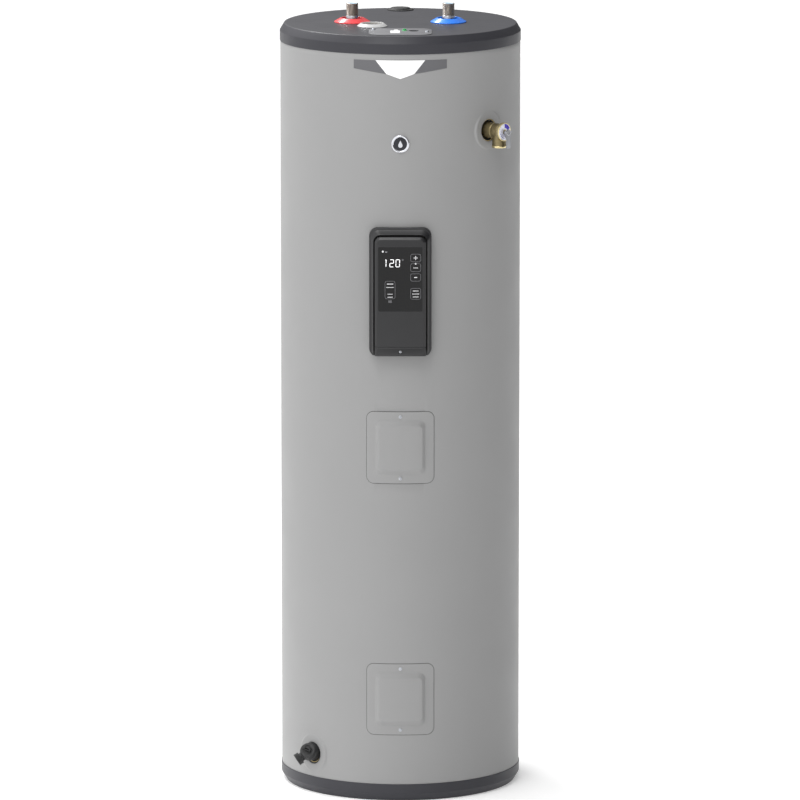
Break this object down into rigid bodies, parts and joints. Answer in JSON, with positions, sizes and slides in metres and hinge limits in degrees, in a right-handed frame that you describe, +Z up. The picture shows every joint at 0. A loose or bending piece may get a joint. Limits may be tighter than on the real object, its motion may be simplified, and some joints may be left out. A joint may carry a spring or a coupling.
{
  "type": "tank water heater",
  "caption": "Tall electric storage water heater with a painted steel jacket, dark cap and base, top pipe nipples, front control panel, relief valve and drain valve.",
  "frame": {"origin": "centre of the base's underside, on the tank's axis", "axes": "+Z up along the tank; -Y is the front, where the control panel is; +X is to the right seen from the front"},
  "size_m": [0.5092, 0.5327, 1.668],
  "materials": {
    "jacket_paint": "satin",
    "cap_paint": "satin",
    "tank_steel": "gloss",
    "spud_steel": "matte",
    "foam": "matte",
    "zinc_steel": "satin",
    "liner_plastic": "satin",
    "red_plastic": "gloss",
    "blue_plastic": "gloss",
    "light_plastic": "gloss",
    "black_plastic": "satin",
    "dip_plastic": "matte",
    "anode_metal": "matte",
    "screw_steel": "satin",
    "cover_paint": "satin",
    "ground_green": "satin",
    "wire_sleeve": "matte",
    "gasket_rubber": "matte",
    "element_head_steel": "satin",
    "element_copper": "satin",
    "sensor_resin": "matte",
    "control_plastic": "satin",
    "touch_film": "gloss",
    "circuit_board": "satin",
    "display_case": "satin",
    "plate_grey": "satin",
    "plate_white": "gloss",
    "badge_chrome": "polished",
    "badge_dark": "gloss",
    "brass": "satin",
    "tag_foil": "satin",
    "spring_steel": "satin",
    "probe_copper": "satin"
  },
  "bodies": {
    "heater": {"jacket": "jacket_paint", "upper_access_cover": "jacket_paint", "lower_access_cover": "jacket_paint", "top_cap": "cap_paint", "base_pan": "cap_paint", "tank_shell": "tank_steel", "tank_top_head": "tank_steel", "tank_bottom_head": "tank_steel", "tank_spuds": "spud_steel", "insulation_foam": "foam", "upper_cover_insulation": "foam", "lower_cover_insulation": "foam", "tank_support_ring": "foam", "hot_nipple": "zinc_steel", "cold_nipple": "zinc_steel", "junction_box": "zinc_steel", "hot_nipple_liner": "liner_plastic", "cold_nipple_liner": "liner_plastic", "hot_ring": "red_plastic", "cold_ring": "blue_plastic", "anode_ring": "light_plastic", "foam_port_plug": "black_plastic", "drain_body": "black_plastic", "dip_tube": "dip_plastic", "anode_rod": "anode_metal", "anode_head": "screw_steel", "junction_cover_screws": "screw_steel", "access_cover_screws": "screw_steel", "control_cover_screw": "screw_steel", "junction_cover": "cover_paint", "ground_screw": "ground_green", "wiring_harness": "wire_sleeve", "upper_element_gasket": "gasket_rubber", "lower_element_gasket": "gasket_rubber", "valve_hole_seals": "gasket_rubber", "upper_element_head": "element_head_steel", "lower_element_head": "element_head_steel", "upper_element_sheath": "element_copper", "lower_element_sheath": "element_copper", "upper_temperature_sensor": "sensor_resin", "lower_temperature_sensor": "sensor_resin", "control_housing": "control_plastic", "control_cover": "control_plastic", "control_lens": "touch_film", "control_board": "circuit_board", "display_module": "display_case", "nameplate": "plate_grey", "nameplate_shield": "plate_white", "badge_ring": "badge_chrome", "badge_disc": "badge_dark", "tp_body": "brass", "tp_bonnet": "brass", "tp_tag": "tag_foil", "tp_spring": "spring_steel", "tp_probe": "probe_copper"},
    "tp_stem": {"tp_stem": "brass"},
    "tp_lever": {"tp_lever": "screw_steel", "tp_lever_pin": "screw_steel"},
    "drain_stem": {"drain_stem": "black_plastic"}
  },
  "joints": [
    {"name": "tp_stem_lift", "type": "slide", "parent": "heater", "child": "tp_stem", "axis": [0.7314, -0.682, 0], "range_m": [0, 0.004], "stiffness_N_per_m": 3000, "springref_m": -0.01, "deforming": ["tp_spring"]},
    {"name": "tp_lever_lift", "type": "hinge", "parent": "tp_stem", "child": "tp_lever", "pos_m": [0.22416, -0.20903, 1.4217], "axis": [-0.682, -0.7314, 0], "range_deg": [0, 80]},
    {"name": "drain_stem_turn", "type": "hinge", "parent": "heater", "child": "drain_stem", "pos_m": [-0.19425, -0.18114, 0.091], "axis": [-0.2072, -0.8147, 0.5417], "range_deg": [0, 90]}
  ],
  "couplings": [
    {"joint": "tp_lever_lift", "follows": "tp_stem_lift", "rad_per_m": 349}
  ]
}
